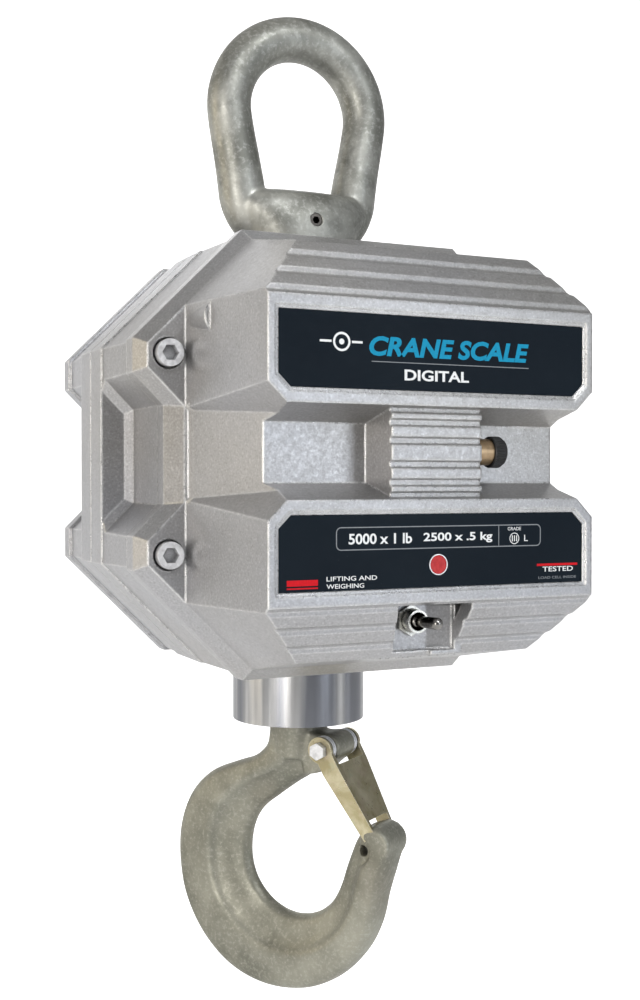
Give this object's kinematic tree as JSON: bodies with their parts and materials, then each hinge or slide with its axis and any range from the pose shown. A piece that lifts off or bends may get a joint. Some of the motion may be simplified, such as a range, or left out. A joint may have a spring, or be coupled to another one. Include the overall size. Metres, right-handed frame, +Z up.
{
  "type": "crane scale",
  "caption": "Crane scale with an eight-sided two-shell metal housing hung from a forged eye, and a swivel hook with a sprung latch below.",
  "frame": {"origin": "the point inside the lifting eye where a crane hook bears", "axes": "+Z up along the load line, -Y towards the front with the switch and connector, +X to the right seen from the front"},
  "size_m": [0.26, 0.348, 0.5981],
  "materials": {
    "housing_paint": "fine-grained silver paint on cast aluminium",
    "black_rubber": "matte",
    "bright_steel": "bright zinc plated",
    "label": "satin printed overlay",
    "red_lens": "clear glossy",
    "black_plastic": "moulded, knurled",
    "nickel": "bright nickel plate",
    "dark_chrome": "polished",
    "brass": "machined",
    "machined_steel": "turned and polished",
    "galvanised": "galvanised forging, mottled",
    "dark_steel": "oiled",
    "bearing_steel": "ground",
    "hook_forging": "matte olive-grey forging",
    "yellow_zinc": "yellow chromate over zinc",
    "board_green": "solder mask",
    "battery_wrap": "shrink wrap"
  },
  "bodies": {
    "housing": {"front_shell": "housing_paint", "rear_shell": "housing_paint", "shell_gasket": "black_rubber", "shell_screws": "bright_steel", "upper_label": "label", "lower_label": "label", "rear_label": "label", "battery_cover": "housing_paint", "battery_cover_screws": "bright_steel", "indicator_bezel": "bright_steel", "indicator_lens": "red_lens", "toggle_body": "black_plastic", "toggle_bushing": "nickel", "toggle_nut": "nickel", "connector_body": "brass", "load_cell": "machined_steel", "lifting_eye": "galvanised", "eye_set_screw": "dark_steel", "upper_seal": "black_rubber", "lower_seal": "black_rubber", "bearing_cap": "machined_steel", "bearing_housing": "machined_steel", "lower_race": "bearing_steel", "circuit_board": "board_green", "board_standoffs": "brass", "battery_pack": "battery_wrap", "battery_bracket": "machined_steel", "antenna": "black_plastic"},
    "toggle": {"toggle_lever": "dark_chrome"},
    "cap": {"connector_cap": "black_plastic", "connector_seal": "black_rubber"},
    "balls": {"thrust_balls": "bearing_steel"},
    "swivel_hook": {"hook": "hook_forging", "hook_nut": "machined_steel", "nut_pin": "dark_steel", "upper_race": "bearing_steel", "latch_spring": "dark_steel"},
    "hook_latch": {"latch": "yellow_zinc", "latch_bolt": "bright_steel", "latch_nut": "bright_steel"}
  },
  "joints": [
    {"name": "hook_swivel", "type": "hinge", "parent": "housing", "child": "swivel_hook", "pos_m": [0, 0, -0.3935], "axis": [0, 0, 1], "continuous": true},
    {"name": "ball_orbit", "type": "hinge", "parent": "housing", "child": "balls", "pos_m": [0, 0, -0.3885], "axis": [0, 0, 1], "continuous": true},
    {"name": "latch_hinge", "type": "hinge", "parent": "swivel_hook", "child": "hook_latch", "pos_m": [0.0148, -0.02113, -0.418], "axis": [0.8192, 0.5736, 0], "range_deg": [0, 50], "stiffness_Nm_per_rad": 0.25, "springref_deg": -20.05},
    {"name": "toggle_flip", "type": "hinge", "parent": "housing", "child": "toggle", "pos_m": [-0.0028, -0.152, -0.3284], "axis": [0, 0, 1], "range_deg": [-25, 0]},
    {"name": "cap_turn", "type": "hinge", "parent": "housing", "child": "cap", "pos_m": [0.0405, -0.158, -0.2426], "axis": [-1, 0, 0], "range_deg": [0, 1080]}
  ],
  "couplings": [
    {"joint": "ball_orbit", "follows": "hook_swivel", "ratio": 0.5}
  ]
}
